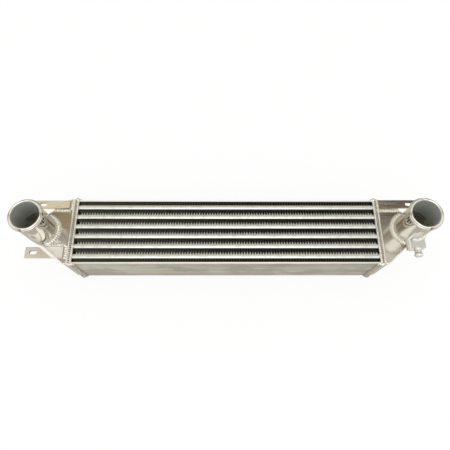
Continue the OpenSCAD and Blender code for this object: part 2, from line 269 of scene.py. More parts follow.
@dataclass(frozen=True)
class RolledSheet(Finish):
    """Rolled 5052 aluminium sheet, satin from the rolls.

    It has faint lines one way and smudges, and painted shade on the walls of its punched slot.
    """

    colour: str = "#cfccc4"
    roughness: float = 0.13
    grain: Grain = Grain.ALONG_X
    stain: str = "#aaa294"
    # Colour of the painted shade on the walls of the slot
    slot_painted_shade: str = "#2f2b25"
    slot: Point | None = None
    slot_half_l: float = 9 * MM
    slot_slimness: float = 1.8

    def mark(self, metal: MetalGraph) -> None:
        """Smudge the sheet, paint shade on the walls of its slot and draw the lines of the rolls.

        Args:
            metal: the sheet's tree.
        """
        lines = metal.pattern(0.9)
        metal.stain(self.stain, metal.pattern(38, Grain.NONE, detail=3), 0.0, 0.3, 0.42, 0.62)
        if self.slot:
            self.paint_slot_shade(metal, self.slot)
        metal.polish(lines, -0.05, 0.07)
        metal.relief(lines, 0.006)

    def paint_slot_shade(self, metal: MetalGraph, slot: Point) -> None:
        """Paint shade on what lies below the sheet's front within an ellipse about the slot, which
        is the slot's walls.

        Args:
            metal: the sheet's tree.
            slot: the slot's middle, on the front of the sheet.
        """
        off = metal.add("ShaderNodeVectorMath", {0: metal.place, 1: slot}, operation="SUBTRACT")
        oval = {0: off, 1: (1, self.slot_slimness, 0)}
        near = metal.add("ShaderNodeVectorMath", oval, operation="MULTIPLY")
        span = metal.add("ShaderNodeVectorMath", {0: near}, operation="LENGTH").outputs["Value"]
        below = metal.add("ShaderNodeSeparateXYZ", {0: off}).outputs["Z"]
        far = self.slot_half_l
        wall = metal.add("ShaderNodeMapRange", ranges(below, -0.3 * MM, -0.1 * MM, 1.0, 0.0))
        inside = metal.add("ShaderNodeMapRange", ranges(span, far, far + 0.5 * MM, 1.0, 0.0))
        # Painted shade: the walls of the slot are darkened
        metal.tint(("MULTIPLY", wall, inside), self.slot_painted_shade)


@dataclass(frozen=True, kw_only=True)
class BrushedPlate(Finish):
    """Brushed 3003 aluminium plate: grey streaks with a matt sheen, and a painted highlight on its
    sheared front edge.
    """

    front_z: float
    colour: str = "#dcded3"
    roughness: float = 0.32
    grain: Grain = Grain.ALONG_X
    streak: str = "#9fa096"
    edge_highlight: str = "#fbf8f0"

    def mark(self, metal: MetalGraph) -> None:
        """Brush the plate, and paint a highlight on its sheared edge, which is its front.

        Args:
            metal: the plate's tree.
        """
        fine = metal.pattern(1.2, detail=2)
        metal.stain(self.streak, metal.pattern(4.5), 0.0, 0.85, 0.4, 0.62)
        metal.stain(self.streak, metal.pattern(55, Grain.NONE, detail=3), 0.0, 0.55, 0.48, 0.6)
        # Painted highlight on the plate's front edge
        metal.fade(self.edge_highlight, 0.0, 1.0, self.front_z - 0.5 * MM, self.front_z - 0.2 * MM)
        metal.polish(fine, -0.06, 0.1)
        metal.relief(fine, 0.03)


@dataclass(frozen=True)
class DrawnBar(Finish):
    """Drawn aluminium bar with a rounded nose: bright, with fine lines along it and flux stains."""

    colour: str = "#dcdfd8"
    roughness: float = 0.26
    grain: Grain = Grain.ALONG_X
    stain: str = "#c6c3b6"

    def mark(self, metal: MetalGraph) -> None:
        """Stain the bar and draw the lines of the die.

        Args:
            metal: the bar's tree.
        """
        lines = metal.pattern(0.7, detail=2)
        metal.stain(self.stain, metal.pattern(9, Grain.NONE, detail=5), 0.0, 0.6, 0.5, 0.68)
        metal.polish(lines, -0.05, 0.1)
        metal.relief(lines, 0.02)


@dataclass(frozen=True, kw_only=True)
class FinStock(Finish):
    """Thin clad aluminium fin stock after brazing: dull grey, darkened as painted shade of the
    rows.
    """

    front_z: float
    # Dark grey: partly the dull stock, partly painted shade of the deep rows
    colour: str = "#75726c"
    roughness: float = 0.45
    grain: Grain = Grain.ALONG_Z
    painted_shade_colour: str = "#66645f"
    shade_depth: float = 2.5 * MM

    def mark(self, metal: MetalGraph) -> None:
        """Add painted shade, which gets darker from the front edge inwards, and the grain of the
        flux film.

        Args:
            metal: the fin stock's tree.
        """
        # Painted shade, darker from the front edge inwards
        metal.fade(self.painted_shade_colour, 1.0, 0.0, self.front_z - self.shade_depth, self.front_z)
        film = metal.pattern(2.5, Grain.NONE)
        metal.polish(film, -0.1, 0.15)
        metal.relief(film, 0.02)


@dataclass(frozen=True, kw_only=True)
class PolishedTube(Finish):
    """Drawn 6061 tube, buffed until it mirrors the room, with a dull oxide film in the bore."""

    axis: tuple[float, float]
    bore_r: float
    mouth_z: float
    colour: str = "#c9c5bd"
    roughness: float = 0.06
    bore_colour: str = "#cfd1ca"
    bore_roughness: float = 0.28
    bore_metallic: float = 0.45
    lip_highlight: str = "#fbf8f0"

    def mark(self, metal: MetalGraph) -> None:
        """Dull the bore, which lies near the axis, paint a highlight on the sawn lip and add the
        haze.

        Args:
            metal: the tube's tree.
        """
        centre = {"Vector": metal.place, "Location": (-self.axis[0], -self.axis[1], 0.0)}
        placed = metal.add("ShaderNodeMapping", centre)
        flat = metal.add("ShaderNodeVectorMath", {0: placed, 1: (1, 1, 0)}, operation="MULTIPLY")
        radius = metal.add("ShaderNodeVectorMath", {0: flat}, operation="LENGTH").outputs["Value"]
        film = ranges(radius, self.bore_r + 0.3 * MM, self.bore_r + 0.9 * MM, 1.0, 0.0)
        inside = metal.add("ShaderNodeMapRange", film)
        metal.tint(inside, self.bore_colour)
        # Painted highlight on the sawn lip at the tube's mouth
        metal.fade(self.lip_highlight, 0.0, 1.0, self.mouth_z - 0.8 * MM, self.mouth_z - 0.4 * MM)
        haze = metal.pattern(6, Grain.NONE, detail=3)
        buffed = ranges(haze, 0.3, 0.7, self.roughness - 0.02, self.roughness + 0.04)
        outside = metal.add("ShaderNodeMapRange", buffed)
        for name, value, bore_value in (
            ("Roughness", outside, self.bore_roughness),
            ("Metallic", 1.0, self.bore_metallic),
        ):
            both = {0: inside, 2: value, 3: bore_value}
            metal.feed(metal.shader[name], metal.add("ShaderNodeMix", both, data_type="FLOAT"))


@dataclass(frozen=True, kw_only=True)
class WeldMetal(Finish):
    """Filler metal laid by hand: bright on each ripple, sooty in the dips, with painted shade down
    the sides.
    """

    front_z: float
    colour: str = "#eeeae0"
    roughness: float = 0.2
    # Colour of the soot, and of the painted shade low on the bead
    soot_and_shade: str = "#665f52"

    def mark(self, metal: MetalGraph) -> None:
        """Add the soot, which lies thickest in the dips, and painted shade low on the bead.

        Args:
            metal: the filler's tree.
        """
        skin = metal.pattern(1.6)
        metal.stain(self.soot_and_shade, skin, 0.7, 0.0, 0.36, 0.52)
        # Painted shade: the bead darkens where it runs down the side plates
        metal.fade(self.soot_and_shade, 0.5, 0.0, self.front_z - 8 * MM, self.front_z - 2 * MM)
        metal.polish(skin, 0.12, -0.05)
        metal.relief(skin, 0.06)


@dataclass(frozen=True)
class MachinedMetal(Finish):
    """Milled or turned aluminium: bright and even, with close marks along the tool's path."""

    colour: str = "#efeeea"
    roughness: float = 0.15
    grain: Grain = Grain.ALONG_X
    dull: str = "#b9b7b0"

    def mark(self, metal: MetalGraph) -> None:
        """Dull the metal in patches and add the tool marks.

        Args:
            metal: the metal's tree.
        """
        marks = metal.pattern(0.5, detail=2)
        metal.stain(self.dull, metal.pattern(5, Grain.NONE), 0.0, 0.35)
        metal.polish(marks, -0.05, 0.08)
        metal.relief(marks, 0.015)


@dataclass(frozen=True)
class BrazedMetal(Finish):
    """Clad aluminium after the brazing oven: dull, with the grainy white film that flux leaves."""

    colour: str = "#bdbbb4"
    roughness: float = 0.42
    film: str = "#96938a"

    def mark(self, metal: MetalGraph) -> None:
        """Add the film.

        Args:
            metal: the brazed metal's tree.
        """
        grainy = metal.pattern(2.2, detail=5)
        metal.stain(self.film, grainy, 0.0, 0.7)
        metal.polish(grainy, -0.08, 0.12)
        metal.relief(grainy, 0.03)


def dress(node: str, material: bpy.types.Material) -> None:
    """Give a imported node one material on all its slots.

    Args:
        node: the node's name.
        material: its finish.
    """
    slots = FRAME["nodes"][node].data.materials
    slots.clear()
    slots.append(material)
    LOG.info("%s is dressed in %s", node, material.name)


# Geometry recipes


SOCKET_KINDS = {
    float: "NodeSocketFloat",
    int: "NodeSocketInt",
    tuple: "NodeSocketVector",
    type(None): "NodeSocketMaterial",
}


@dataclass
class Recipe(Graph):
    """A geometry tree that turns a seed into a plain mesh, with named inputs and their defaults."""

    tree: bpy.types.NodeTree = field(init=False)
    name: str
    inputs: Inputs

    def __post_init__(self) -> None:
        """Open the tree with its inputs and its one output."""
        self.tree = bpy.data.node_groups.new(self.name, "GeometryNodeTree")
        face = self.tree.interface
        face.new_socket(name="Geometry", in_out="INPUT", socket_type="NodeSocketGeometry")
        self.identifiers = {}
        for label, default in self.inputs.items():
            kind = SOCKET_KINDS[type(default)]
            socket = face.new_socket(name=label, in_out="INPUT", socket_type=kind)
            self.identifiers[label] = socket.identifier
            if default is not None:
                socket.default_value = default
        face.new_socket(name="Geometry", in_out="OUTPUT", socket_type="NodeSocketGeometry")
        self.given = self.add("NodeGroupInput").outputs

    def close(self, geometry: Node) -> None:
        """End the tree: make instances real, smooth them and give them the metal.

        Args:
            geometry: the node that gives the finished shape.
        """
        real = self.add("GeometryNodeRealizeInstances", {"Geometry": geometry})
        smooth = self.add("GeometryNodeSetShadeSmooth", {"Geometry": real})
        dressed = {"Geometry": smooth, "Material": self.given["Metal"]}
        metal = self.add("GeometryNodeSetMaterial", dressed)
        self.add("NodeGroupOutput", {"Geometry": metal})

    def make(
        self, name: str, values: Inputs, seed: bpy.types.Mesh | None = None
    ) -> bpy.types.Object:
        """Run the recipe.

        Args:
            name: the finished piece's name.
            values: a value for each named input.
            seed: the mesh that the tree starts from, or an empty one.

        Returns:
            The finished piece, a plain mesh at the origin.
        """
        if seed is None:
            seed = bpy.data.meshes.new(f"{name}_seed")
        holder = bpy.data.objects.new(f"{name}_seed", seed)
        bpy.context.collection.objects.link(holder)
        modifier = holder.modifiers.new(self.name, "NODES")
        modifier.node_group = self.tree
        for label, value in values.items():
            modifier[self.identifiers[label]] = value
        depsgraph = bpy.context.evaluated_depsgraph_get()
        mesh = bpy.data.meshes.new_from_object(holder.evaluated_get(depsgraph))
        holder.modifiers.clear()
        bpy.data.objects.remove(holder)
        mesh.name = name
        piece = bpy.data.objects.new(name, mesh)
        bpy.context.collection.objects.link(piece)
        LOG.info("%s made: %d faces", name, len(mesh.polygons))
        return piece


def folded_fin_recipe() -> Recipe:
    """Build the recipe of a row of folded fins.

    A flat grid is bent into a wave that is nearly straight between its rounded folds and swings
    from side to side on its way back through the core. Then it gets the sheet's thickness. Height
    is along Y and depth along Z.

    Returns:
        The recipe.
    """
    recipe = Recipe(
        "folded_fins",
        {
            "Length": 0.5,
            "Height": 0.01,
            "Depth": 0.08,
            "Folds": 138,
            "Points per fold": 6,
            "Straightness": 0.98,
            "Swing": 0.0015,
            "Swing length": 0.02,
            "Gauge": 0.0002,
            "Middle": (0, 0, 0),
            "Metal": None,
        },
    )
    given = recipe.given
    points = ("ADD", ("MULTIPLY", given["Folds"], given["Points per fold"]), 1.0)
    size = {"Size X": given["Length"], "Size Y": given["Depth"], "Vertices Y": 13}
    grid = recipe.add("GeometryNodeMeshGrid", {**size, "Vertices X": points})
    spot = {0: recipe.add("GeometryNodeInputPosition")}
    place = recipe.add("ShaderNodeSeparateXYZ", spot).outputs
    turns = ("MULTIPLY", ("DIVIDE", place["X"], given["Length"]), given["Folds"])
    swing = ("MULTIPLY", ("SINE", ("MULTIPLY", turns, math.tau)), given["Straightness"])
    wave = ("DIVIDE", ("ARCSINE", swing), ("ARCSINE", given["Straightness"]))
    reach = ("DIVIDE", ("SUBTRACT", given["Height"], given["Gauge"]), 2.0)
    behind = ("SUBTRACT", ("DIVIDE", given["Depth"], 2.0), place["Y"])
    phase = ("MULTIPLY", ("DIVIDE", behind, given["Swing length"]), math.tau)
    swung = ("ADD", place["X"], ("MULTIPLY", ("SINE", phase), given["Swing"]))
    bent = {0: swung, 1: ("MULTIPLY", wave, reach), 2: place["Y"]}
    moved = {0: recipe.add("ShaderNodeCombineXYZ", bent), 1: given["Middle"]}
    placed = recipe.add("ShaderNodeVectorMath", moved, operation="ADD")
    ribbon = recipe.add("GeometryNodeSetPosition", {"Geometry": grid, "Position": placed})
    thick = {"Mesh": ribbon, "Offset Scale": given["Gauge"], "Individual": False}
    upper = recipe.add("GeometryNodeExtrudeMesh", thick, mode="FACES")
    lower = recipe.add("GeometryNodeFlipFaces", {"Mesh": ribbon})
    both = recipe.add("GeometryNodeJoinGeometry", {0: [upper, lower]})
    merged = {"Geometry": both, "Distance": 0.001 * MM}
    recipe.close(recipe.add("GeometryNodeMergeByDistance", merged))
    return recipe


def fillet_recipe() -> Recipe:
    """Build the recipe of the braze fillets at the front of a row, one under each lower fold.

    A fillet is a small blunt cone that stands on the parting sheet below the row.

    Returns:
        The recipe.
    """
    recipe = Recipe(
        "braze_fillets",
        {
            "Length": 0.5,
            "Folds": 138,
            "Height": 0.002,
            "Half width": 0.0012,
            "Half depth": 0.001,
            "Start": (0, 0, 0),
            "Seed": 1,
            "Metal": None,
        },
    )
    given = recipe.given
    share = {0: given["Length"], 1: given["Folds"]}
    pitch = recipe.add("ShaderNodeMath", share, operation="DIVIDE")
    # A lower fold lies three quarters of a pitch after each start of the wave
    first = recipe.add("ShaderNodeCombineXYZ", {0: ("MULTIPLY", pitch, 0.75)})
    start = recipe.add("ShaderNodeVectorMath", {0: given["Start"], 1: first}, operation="ADD")
    step = recipe.add("ShaderNodeCombineXYZ", {0: pitch})
    places = {"Count": given["Folds"], "Start Location": start, "Offset": step}
    line = recipe.add("GeometryNodeMeshLine", places)
    blunt = {"Vertices": 8, "Radius Top": 0.15, "Radius Bottom": 1.0, "Depth": 1.0}
    cone = recipe.add("GeometryNodeMeshCone", blunt)
    sizes = {0: given["Half width"], 1: given["Half depth"], 2: given["Height"]}
    size = recipe.add("ShaderNodeCombineXYZ", sizes)
    shape = {"Geometry": cone, "Rotation": (-math.pi / 2, 0, 0), "Scale": size}
    fillet = recipe.add("GeometryNodeTransform", shape)
    chance = {2: 0.92, 3: 1.08, "Seed": given["Seed"]}
    factor = recipe.add("FunctionNodeRandomValue", chance, data_type="FLOAT").outputs[1]
    laid = {"Points": line, "Instance": fillet, "Scale": factor}
    recipe.close(recipe.add("GeometryNodeInstanceOnPoints", laid))
    return recipe


def weld_recipe() -> Recipe:
    """Build the recipe of a weld bead laid along a path.

    Overlapping domes, one for each dip of the filler rod, lean back along the path. Each vertex of
    the path says which way is up from the metal, and loose vertices get a round knuckle.

    Returns:
        The recipe.
    """
    recipe = Recipe(
        "weld_bead",
        {
            "Pitch": 0.003,
            "Half length": 0.003,
            "Half width": 0.003,
            "Height": 0.002,
            "Lean": 0.4,
            "Wander": 0.15,
            "Knuckle radius": 0.004,
            "Seed": 1,
            "Metal": None,
        },
    )
    given = recipe.given
    curve = recipe.add("GeometryNodeMeshToCurve", {"Mesh": given["Geometry"]})
    spaced = {"Curve": curve, "Length": given["Pitch"]}
    dips = recipe.add("GeometryNodeCurveToPoints", spaced, mode="LENGTH")
    up = recipe.add("GeometryNodeInputNamedAttribute", {"Name": "up"}, data_type="FLOAT_VECTOR")
    axes = {"Primary Axis": up.outputs["Attribute"], "Secondary Axis": dips.outputs["Tangent"]}
    turn = recipe.add("FunctionNodeAxesToRotation", axes, primary_axis="Z", secondary_axis="X")
    ball = recipe.add("GeometryNodeMeshUVSphere", {"Segments": 16, "Rings": 10, "Radius": 1.0})
    # The ball is cut flat a fifth of its radius below its middle, in Z alone
    lowest = {0: recipe.add("GeometryNodeInputPosition"), 1: (-9.0, -9.0, -0.2)}
    floor = recipe.add("ShaderNodeVectorMath", lowest, operation="MAXIMUM")
    dome = recipe.add("GeometryNodeSetPosition", {"Geometry": ball, "Position": floor})
    sizes = {0: given["Half length"], 1: given["Half width"], 2: given["Height"]}
    size = recipe.add("ShaderNodeCombineXYZ", sizes)
    lean = recipe.add("ShaderNodeCombineXYZ", {1: given["Lean"]})
    shape = {"Geometry": dome, "Rotation": lean, "Scale": size}
    ripple = recipe.add("GeometryNodeTransform", shape)
    chance = {2: ("SUBTRACT", 1.0, given["Wander"]), 3: 1.0, "Seed": given["Seed"]}
    factor = recipe.add("FunctionNodeRandomValue", chance, data_type="FLOAT").outputs[1]
    laid = {"Points": dips, "Instance": ripple, "Rotation": turn, "Scale": factor}
    bead = recipe.add("GeometryNodeInstanceOnPoints", laid)
    mark = recipe.add("GeometryNodeInputNamedAttribute", {"Name": "knuckle"}, data_type="BOOLEAN")
    knuckle = {"Segments": 24, "Rings": 14, "Radius": given["Knuckle radius"]}
    knob = recipe.add("GeometryNodeMeshUVSphere", knuckle)
    ends = {"Points": given["Geometry"], "Selection": mark.outputs["Attribute"], "Instance": knob}
    knobs = recipe.add("GeometryNodeInstanceOnPoints", ends)
    recipe.close(recipe.add("GeometryNodeJoinGeometry", {0: [bead, knobs]}))
    return recipe


@dataclass
class WeldPath:
    """The line that a bead is laid along, with the way out of the metal at each of its points."""

    points: list[Vector] = field(default_factory=list)
    ups: list[Vector] = field(default_factory=list)
    knuckles: list[Vector] = field(default_factory=list)
    closed: bool = False

    def add(self, point: Sequence[float], up: Sequence[float]) -> None:
        """Add one point with its way up."""
        self.points.append(Vector(point))
        self.ups.append(Vector(up).normalized())

    def mesh(self, name: str) -> bpy.types.Mesh:
        """Turn the path into a mesh of edges that carries the ways up and marks the knuckles.

        Args:
            name: the mesh's name.

        Returns:
            The mesh.
        """
        count = len(self.points)
        edges = [(i, i + 1) for i in range(count - 1)]
        if self.closed:
            edges.append((count - 1, 0))
        mesh = bpy.data.meshes.new(name)
        mesh.from_pydata(self.points + self.knuckles, edges, [])
        up = mesh.attributes.new("up", "FLOAT_VECTOR", "POINT")
        knuckle = mesh.attributes.new("knuckle", "BOOLEAN", "POINT")
        for i, way in enumerate(self.ups):
            up.data[i].vector = way
        for i in range(count, count + len(self.knuckles)):
            knuckle.data[i].value = True
        return mesh


@dataclass(frozen=True)
class Bead:
    """One kind of weld bead: its sizes in millimetres, and whether it is the dark strip of painted
    shade between passes.
    """

    width: float
    height: float
    pitch: float = 3.0
    length: float = 2.0
    lean: float = 0.35
    wander: float = 0.12
    knuckle: float = 4.0
    shade_strip: bool = False


@dataclass
class Welder:
    """Lays beads along paths, each with its own fixed seed."""

    recipe: Recipe
    metal: bpy.types.Material
    # Material of the dark strip of painted shade under the seam's ripples
    shade_strip: bpy.types.Material
    laid: int = 0

    def lay(self, name: str, path: WeldPath, bead: Bead, replaced: str = "") -> None:
        """Lay one bead and let it ride on the part.

        Args:
            name: the finished bead's name.
            path: where it goes.
            bead: its kind.
            replaced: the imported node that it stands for.
        """
        self.laid += 1
        values = {
            "Pitch": bead.pitch * MM,
            "Half length": bead.length * MM,
            "Half width": bead.width / 2 * MM,
            "Height": bead.height * MM,
            "Lean": bead.lean,
            "Wander": bead.wander,
            "Knuckle radius": bead.knuckle * MM,
            "Seed": self.laid,
            "Metal": self.shade_strip if bead.shade_strip else self.metal,
        }
        piece = self.recipe.make(name, values, path.mesh(f"{name}_path"))
        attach(piece, "root")
        if replaced:
            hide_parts(replaced)


# The part's assemblies


@dataclass
class Core:
    """The brazed block of plates, bars, sheets and fins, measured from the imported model.

    The real folds are 3.82 mm apart, which is too fine to show at the photograph's size.
    """

    fold_pitch: float = 4.7 * MM
    fin_gauge: float = 0.25 * MM
    fin_swing: float = 1.3 * MM
    fin_swing_length: float = 28 * MM
    fillet_h: float = 4.2 * MM
    fillet_half_w: float = 1.1 * MM
    fillet_half_depth: float = 1.0 * MM
    fillet_out: float = 0.2 * MM
    rows: int = 7
    passages: int = 6

    def __post_init__(self) -> None:
        """Read the core's outline from its plates."""
        low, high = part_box("side_plate_upper")
        self.half_l, self.half_h, self.front_z = high
        self.back_z = low[2]

    def dress(self) -> None:
        """Give the plates, bars, sheets and turbulators their finishes."""
        plate = BrushedPlate("brushed_side_plate", front_z=self.front_z).build()
        bar = DrawnBar("drawn_long_bar").build()
        brazed = BrazedMetal("brazed_sheet").build()
        header = MachinedMetal("sawn_header_bar", roughness=0.32, grain=Grain.ALONG_Z).build()
        for word in ("upper", "lower"):
            dress(f"side_plate_{word}", plate)
        for i in range(1, self.passages + 1):
            dress(f"front_bar_{i}", bar)
            dress(f"back_bar_{i}", bar)
            dress(f"turbulator_{i}", brazed)
        for i in range(1, 2 * self.passages + 1):
            dress(f"parting_sheet_{i}", brazed)
        for side in Side:
            dress(f"header_bars_{side.word}", header)

    def folds(self, length: float) -> int:
        """Give the even number of folds that comes closest to the pitch over the given length."""
        return 2 * round(length / self.fold_pitch / 2)

    def fold_fins(self) -> None:
        """Fold each row of fins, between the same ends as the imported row."""
        recipe = folded_fin_recipe()
        metal = FinStock("brazed_fin_stock", front_z=self.front_z).build()
        for i in range(1, self.rows + 1):
            node = f"cooling_fins_{i}"
            low, high = (Vector(corner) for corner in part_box(node))
            size = high - low
            values = {
                "Length": size.x,
                "Height": size.y,
                "Depth": size.z,
                "Folds": self.folds(size.x),
                "Gauge": self.fin_gauge,
                "Swing": self.fin_swing,
                "Swing length": self.fin_swing_length,
                "Middle": tuple((low + high) / 2),
                "Metal": metal,
            }
            piece = recipe.make(f"folded_fins_{i}", values)
            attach(piece, "root")
            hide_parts(node)

    def braze_fins(self) -> None:
        """Set the bright fillets that show as teeth along the lower edges of the full rows."""
        recipe = fillet_recipe()
        cladding = MachinedMetal("molten_cladding", "#f0eee8", 0.5, Grain.NONE).build()
        for i in range(2, self.rows):
            low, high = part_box(f"cooling_fins_{i}")
            length = high[0] - low[0]
            values = {
                "Length": length,
                "Folds": self.folds(length),
                "Height": self.fillet_h,
                "Half width": self.fillet_half_w,
                "Half depth": self.fillet_half_depth,
                "Start": (low[0], low[1], high[2] + self.fillet_out),
                "Seed": i,
                "Metal": cladding,
            }
            piece = recipe.make(f"braze_fillets_{i}", values)
            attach(piece, "root")

    def build(self) -> None:
        """Dress the block, fold its fins and braze them."""
        self.dress()
        self.fold_fins()
        self.braze_fins()


@dataclass
class EndTank:
    """One end tank with its port tube and beads. The seam's sizes are in millimetres."""

    side: Side
    core: Core
    welder: Welder
    neck: float = 9.5 * MM
    hose_bead_out: float = 2.4 * MM
    tube_wall: float = 3.3 * MM
    seam_w: float = 9.0
    seam_h: float = 2.7
    seam_lift: float = 0.2
    knuckle_out: float = 1 * MM
    port_weld_out: float = 2.2 * MM
    port_weld_up: float = 1.0 * MM
    port_weld_degrees: float = 68.0
    edge_weld_share: float = 0.93

    def __post_init__(self) -> None:
        """Read the port's axis and radius from its packed tube."""
        self.word = self.side.word
        self.sign = self.side.value
        low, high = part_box(f"port_tube_{self.word}")
        self.port_x = (low[0] + high[0]) / 2
        self.port_y = (low[1] + high[1]) / 2
        self.port_r = (high[1] - low[1]) / 2 - self.hose_bead_out
        self.mouth_z = high[2]

    def x(self, distance: float) -> float:
        """Place a point the given distance outside the core's end."""
        return self.sign * (self.core.half_l + distance)

    def dress(self) -> None:
        """Give the tank and the tube their finishes."""
        dress(f"tank_{self.word}", RolledSheet(f"tank_sheet_{self.word}").build())
        tube = PolishedTube(
            f"polished_tube_{self.word}",
            axis=(self.port_x, self.port_y),
            bore_r=self.port_r - self.tube_wall,
            mouth_z=self.mouth_z,
        )
        dress(f"port_tube_{self.word}", tube.build())

    def seam_path(self, shift: float) -> WeldPath:
        """Lead a path round the joint of core and tank, on both faces and both side plates.

        Args:
            shift: its distance from the middle of the seam, away from the core, in millimetres.

        Returns:
            The closed path, with a knuckle at each corner.
        """
        core = self.core
        face_x = self.x(shift * MM)
        side_x = self.x((shift - self.seam_w / 2) * MM)
        path = WeldPath(closed=True)
        steps = 6
        corners = [(1, 1), (1, -1), (-1, -1), (-1, 1)]
        for number, (up_way, z_way) in enumerate(corners):
            z = core.front_z if z_way > 0 else core.back_z
            turn = range(steps + 1) if number % 2 == 0 else range(steps, -1, -1)
            for step in turn:
                a = math.pi / 2 * step / steps
                out = Vector((0, up_way * math.sin(a), z_way * math.cos(a)))
                x = face_x + (side_x - face_x) * step / steps
                path.add(Vector((x, up_way * core.half_h, z)) + out * self.seam_lift * MM, out)
            knuckle_y = up_way * (core.half_h + self.knuckle_out)
            knuckle = ((face_x + side_x) / 2, knuckle_y, z - z_way * self.knuckle_out)
            path.knuckles.append(Vector(knuckle))
        return path

    def weld_seam(self) -> None:
        """Lay two smooth passes along the seam's edges, a dark strip of painted shade between them,
        and ripples over it.
        """
        for name, shift, width, height, knuckle in (
            ("inner", -3.0, 4.0, 2.0, 2.4),
            ("outer", 3.7, 3.4, 1.8, 2.4),
            # This pass is a dark strip of painted shade that shows in the gaps between the ripples
            ("soot_and_shade", 0.5, 4.4, 1.5, 1),
        ):
            look = {"pitch": 2.0, "length": 3.0, "lean": 0, "wander": 0.05, "knuckle": knuckle}
            bead = Bead(width, height, shade_strip=name == "soot_and_shade", **look)
            self.welder.lay(f"seam_{name}_{self.word}", self.seam_path(shift), bead)
        bead = Bead(4.6, self.seam_h, pitch=3.9, length=1.3, lean=0.1, wander=0.06, knuckle=3.8)
        path = self.seam_path(0.5)
        self.welder.lay(f"seam_bead_{self.word}", path, bead, f"seam_weld_{self.word}")

    def weld_port(self) -> None:
        """Lay the fillet round the foot of the tube, as far as the front panel carries it."""
        path = WeldPath()
        middle = Vector((self.port_x, self.port_y, self.core.front_z + self.port_weld_up))
        reach = math.radians(self.port_weld_degrees)
        steps = 64
        for step in range(steps + 1):
            a = reach - 2 * reach * step / steps
            out = Vector((-self.sign * math.cos(a), math.sin(a), 0))
            base = middle + out * (self.port_r + self.port_weld_out)
            path.add(base, out * 0.6 + Vector((0, 0, 1)))
        bead = Bead(11.0, 4.0, pitch=3.6, length=2.5)
        self.welder.lay(f"port_bead_{self.word}", path, bead, f"port_weld_{self.word}")

    def weld_edges(self) -> None:
        """Lay the thin beads that join the front panel to the flanks of the tank."""
        bead = Bead(3.6, 1.1, pitch=2.4, lean=0.25)
        z = self.core.front_z
        for way, word in ((1, "upper"), (-1, "lower")):
            edge_y = way * self.core.half_h
            start = Vector((self.x(self.neck), edge_y, z))
            end = Vector((self.port_x, self.port_y + way * self.port_r, z))
            along = (end - start).normalized()
            out = Vector((-along.y, along.x, 0)) * way * self.sign + Vector((0, 0, 1))
            path = WeldPath()
            path.add((self.x(self.seam_w / 2 * MM), edge_y, z), (0, way, 1))
            path.add(start, (0, way, 1))
            path.add(start + along * 2 * MM, out)
            path.add(start.lerp(end, self.edge_weld_share), out)
            self.welder.lay(f"edge_bead_{word}_{self.word}", path, bead)

    def build(self) -> None:
        """Dress the tank and lay all its beads."""
        self.dress()
        self.weld_seam()
        self.weld_port()
        self.weld_edges()


@dataclass
class Strap:
    """One slotted strap and the bead along its inner edge, whose sizes are in millimetres."""

    word: str
    side: Side
    way: int
    wrapped: bool
    core: Core
    welder: Welder
    bead_w: float = 8.6
    bead_off: float = 3.8
    bead_end: float = 4.0

    def build(self, metal: bpy.types.Material) -> None:
        """Dress the strap and lay its bead, round its inner corner too where it is wrapped.

        Args:
            metal: the strap's finish.
        """
        dress(f"strap_{self.word}", metal)
        low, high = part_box(f"strap_{self.word}")
        weld_low, weld_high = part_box(f"strap_weld_{self.word}")
        sign = self.side.value
        inner_x, outer_x = (low[0], weld_high[0]) if sign > 0 else (high[0], weld_low[0])
        edge_y, far_y = (low[1], high[1]) if self.way < 0 else (high[1], low[1])
        off = self.bead_off * MM
        beside_x, beside_y = inner_x - sign * off, edge_y + self.way * off
        corners = [(inner_x, beside_y), (outer_x - sign * self.bead_end * MM, beside_y)]
        if self.wrapped:
            corners = [(beside_x, far_y), (beside_x, edge_y), *corners]
        path = WeldPath()
        for x, y in corners:
            path.add((x, y, self.core.front_z), (0, 0, 1))
        bead = Bead(self.bead_w, 3.4, pitch=3.9, length=2.7, wander=0.2)
        self.welder.lay(f"strap_bead_{self.word}", path, bead, f"strap_weld_{self.word}")


@dataclass
class SensorBoss:
    """The block under the right port, its plug and the bead along its upper end."""

    tank: EndTank
    welder: Welder
    weld_out: float = 1.2 * MM
    weld_up: float = 0.5 * MM

    def build(self) -> None:
        """Dress the block and the plug, and lay the bead."""
        dress("sensor_boss", MachinedMetal("milled_boss", "#fdfdfd", 0.32).build())
        dress("blanking_plug", MachinedMetal("turned_plug", "#f6f4f0", 0.18, Grain.ALONG_Y).build())
        low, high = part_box("sensor_boss_weld")
        path = WeldPath()
        steps = 12
        radius = self.tank.port_r + self.weld_out
        for step in range(steps + 1):
            x = low[0] + (high[0] - low[0]) * step / steps - self.tank.port_x
            y = -math.sqrt(radius**2 - x**2)
            out = Vector((x, y, 0)).normalized()
            base = (self.tank.port_x + x, self.tank.port_y + y, low[2] + self.weld_up)
            path.add(base, out + Vector((0, 0, 1)))
        bead = Bead(7.0, 3.2, pitch=3.2, length=2.4)
        self.welder.lay("boss_bead", path, bead, "sensor_boss_weld")


# Studio


